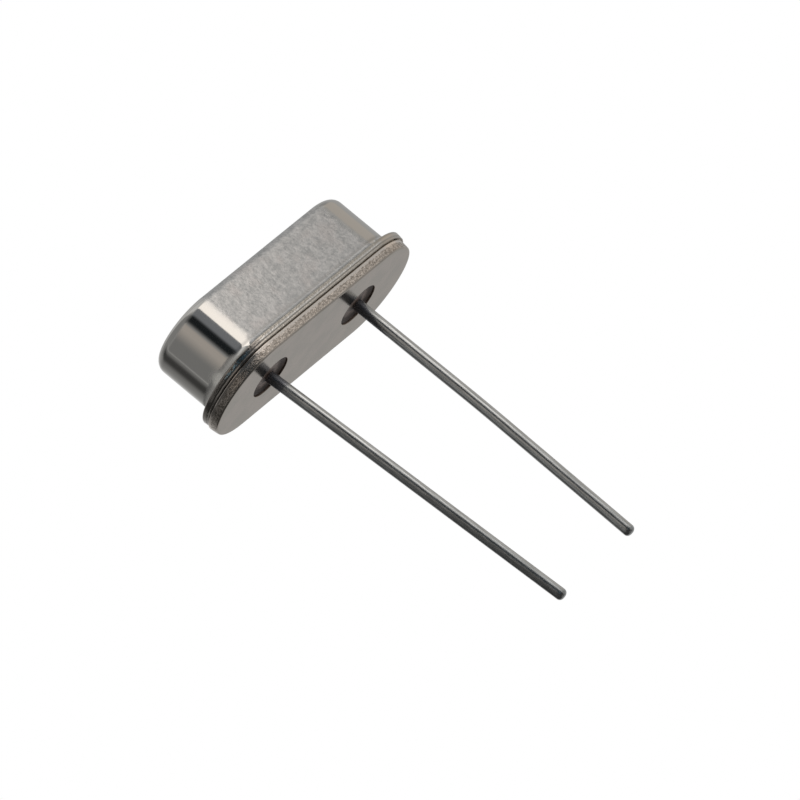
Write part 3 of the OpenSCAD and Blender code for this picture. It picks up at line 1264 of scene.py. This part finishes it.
# A board nearer to the part covers those further out, apart from where it fades.
BOARDS = (
    Board("surround", 0.146, (-180, 180), (-36, 89.9), 0.42, (0, 0, 0, 0)),
    Board("left_ceiling", 0.1455, (-178, -2), (30, 89.9), 0.26, (10, 16, 14, 0)),
    Board("back_ceiling", 0.145, (68, 182), (46, 89.9), 0.54, (14, 14, 10, 0)),
    Board("overhead", 0.1445, (-8, 72), (42, 86), 0.63, (16, 18, 12, 6)),
    Board("under_board", 0.144, (-180, 180), (-89.9, -26), 0.13, (0, 0, 0, 10)),
    Board("back_low_grey", 0.142, (70, 185), (-60, 2), 0.37, (16, 16, 10, 10)),
    Board("backdrop", 0.14, (124, 177), (-4, 42), 0.64, (20, 24, 6, 16)),
    Board("right_grey", 0.139, (52, 100), (-6, 54), 0.5, (8, 14, 6, 24), "#fff7ef"),
    Board("right_light", 0.1386, (42, 70), (22, 52), 0.6, (8, 12, 10, 10)),
    Board("right_dark", 0.1383, (66, 106), (24, 50), 0.33, (12, 12, 12, 10)),
    Board("side_shade", 0.138, (-200, -52), FRONT, 0.215, (44, 8, 4, 38)),
    Board("side_flag", 0.136, (-161, -118), FRONT, 0.055, (21, 14, 4, 24)),
    Board("side_pole", 0.134, (-118, -114.4), FRONT, 0.36, (1.2, 1.2, 4, 8)),
    Board("front_grey", 0.137, (-86, -40), FRONT, 0.45, (34, 4, 4, 36), "#fff6ee"),
    Board("blue_grey_board", 0.13, (-22, 6), FRONT, 0.225, (4, 2, 4, 20), "#f1f6ff"),
    Board("black_flag", 0.126, (-46.5, -13), (-30, 72), 0.02, (15, 8, 4, 50), "#d5e6f2"),
    Board("front_low_dark", 0.12, (-178, 3), (-70, 7), 0.04, (12, 3, 4, 3)),
    Board("right_low_dark", 0.118, (0, 80), (-60, -6), 0.28, (3, 14, 10, 8)),
    Board("blue_card", 0.116, (-52, -4), (-12, -2), 0.14, (10, 6, 3, 2), "#9fd0ee"),
    Board("low_softbox", 0.117, (-4.2, 36), (5.5, 11), 1.25, (2.5, 9, 2.5, 2), "#fff9f4", 0.155),
    Board("key_softbox", 0.045, (-4.2, 36), (0, 52), 1.36, (2.5, 9, 12, 14), "#fff9f4", 0.155),
)


@dataclass(frozen=True)
class Lamp:
    """Soft square lamp aimed at the part.

    Attributes:
        name: Name of the lamp.
        azimuth: Bearing in degrees.
        elevation: Bearing above the horizon in degrees.
        level: Radiance of its face, where 1 is white.
        side: Length of its side in metres.
        distance: From the part in metres.
    """

    name: str
    azimuth: float
    elevation: float
    level: float
    side: float = 0.3
    distance: float = 0.6

    def build(self) -> None:
        """Makes the lamp."""
        data = bpy.data.lights.new(self.name, "AREA")
        data.shape = "SQUARE"
        data.size = self.side
        # A face of radiance 1 gives off pi watts for each square metre.
        data.energy = self.level * math.pi * self.side**2
        lamp = stand(self.name, data)
        way = bearing(self.azimuth, self.elevation)
        lamp.location = way * self.distance
        lamp.rotation_mode = "QUATERNION"
        lamp.rotation_quaternion = way.to_track_quat("Z", "Y")
        lamp.visible_glossy = False


LAMPS = (Lamp("key_lamp", 18.0, 35.0, level=1.2), Lamp("fill_lamp", -110.0, 40.0, level=0.5))


@dataclass(frozen=True)
class Studio:
    """Pale floor, white surround, soft lamps and the light tent.

    Attributes:
        floor_z: Height of the floor in metres, below the camera's line of sight.
        floor_side: Length of the floor's side in metres.
        fill: Light of the surround on dull surfaces.
    """

    floor_z: float = -0.45
    floor_side: float = 6.0
    fill: float = 0.7

    def surround(self) -> None:
        """White for the camera, and for what mirrors or refracts it."""
        world = bpy.data.worlds.new("surround")
        bpy.context.scene.world = world
        world.use_nodes = True
        graph = Graph(world.node_tree)
        graph.tree.nodes.clear()
        rays = graph.add("LightPath").node.outputs
        seen = 0.0
        for kind in ("Camera", "Glossy", "Transmission"):
            seen = graph.add("Math", seen, rays[f"Is {kind} Ray"], operation="MAXIMUM")
        level = graph.add("MapRange", seen, 0.0, 1.0, self.fill, 1.0)
        graph.add("OutputWorld", graph.add("Background", linear("#ffffff"), level))

    def floor(self) -> None:
        """Makes the pale floor."""
        half = self.floor_side / 2
        mesh = bpy.data.meshes.new("floor")
        corners = [(x * half, y * half, self.floor_z) for x, y in ((-1, -1), (1, -1), (1, 1), (-1, 1))]
        mesh.from_pydata(corners, [], [(0, 1, 2, 3)])
        mesh.materials.append(PAPER.build())
        stand("floor", mesh)

    def build(self) -> None:
        """Makes the whole studio."""
        bpy.context.scene.view_settings.view_transform = "Standard"
        self.surround()
        self.floor()
        for thing in (*LAMPS, *BOARDS):
            thing.build()
            log.info("studio: %s", thing.name)


def main() -> None:
    """Builds the camera, the studio and every piece."""
    logging.basicConfig(level=logging.INFO, format="%(name)s: %(message)s")
    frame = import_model()
    Shot().build()
    Studio().build()
    Can(DrawnCan().build()).build()
    Header(StampedHeader().build()).build()
    glass = SealingGlass().build()
    for side in Side:
        Seal(glass, side).build()
    # The left wire leans inward from the glass, and is a hair short of 12.45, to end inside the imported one's
    # box. The right wire runs nearly straight, and bows further down.
    left = LeadWire(Side.LEFT, bare_to=-0.6).build()
    Lead(left, Side.LEFT, length=12.4499, turns=((0.01, 0.0), (0.06, 3.8))).build()
    right = LeadWire(Side.RIGHT, bare_to=-0.75, bare_slope=3.4).build()
    bow = ((0.01, 0.0), (0.06, -0.65), (4.65, -0.65), (6.65, 0.9))
    Lead(right, Side.RIGHT, length=12.3, turns=bow).build()
    SealedParts().dress(frame["nodes"])


if __name__ == "__main__":
    main()
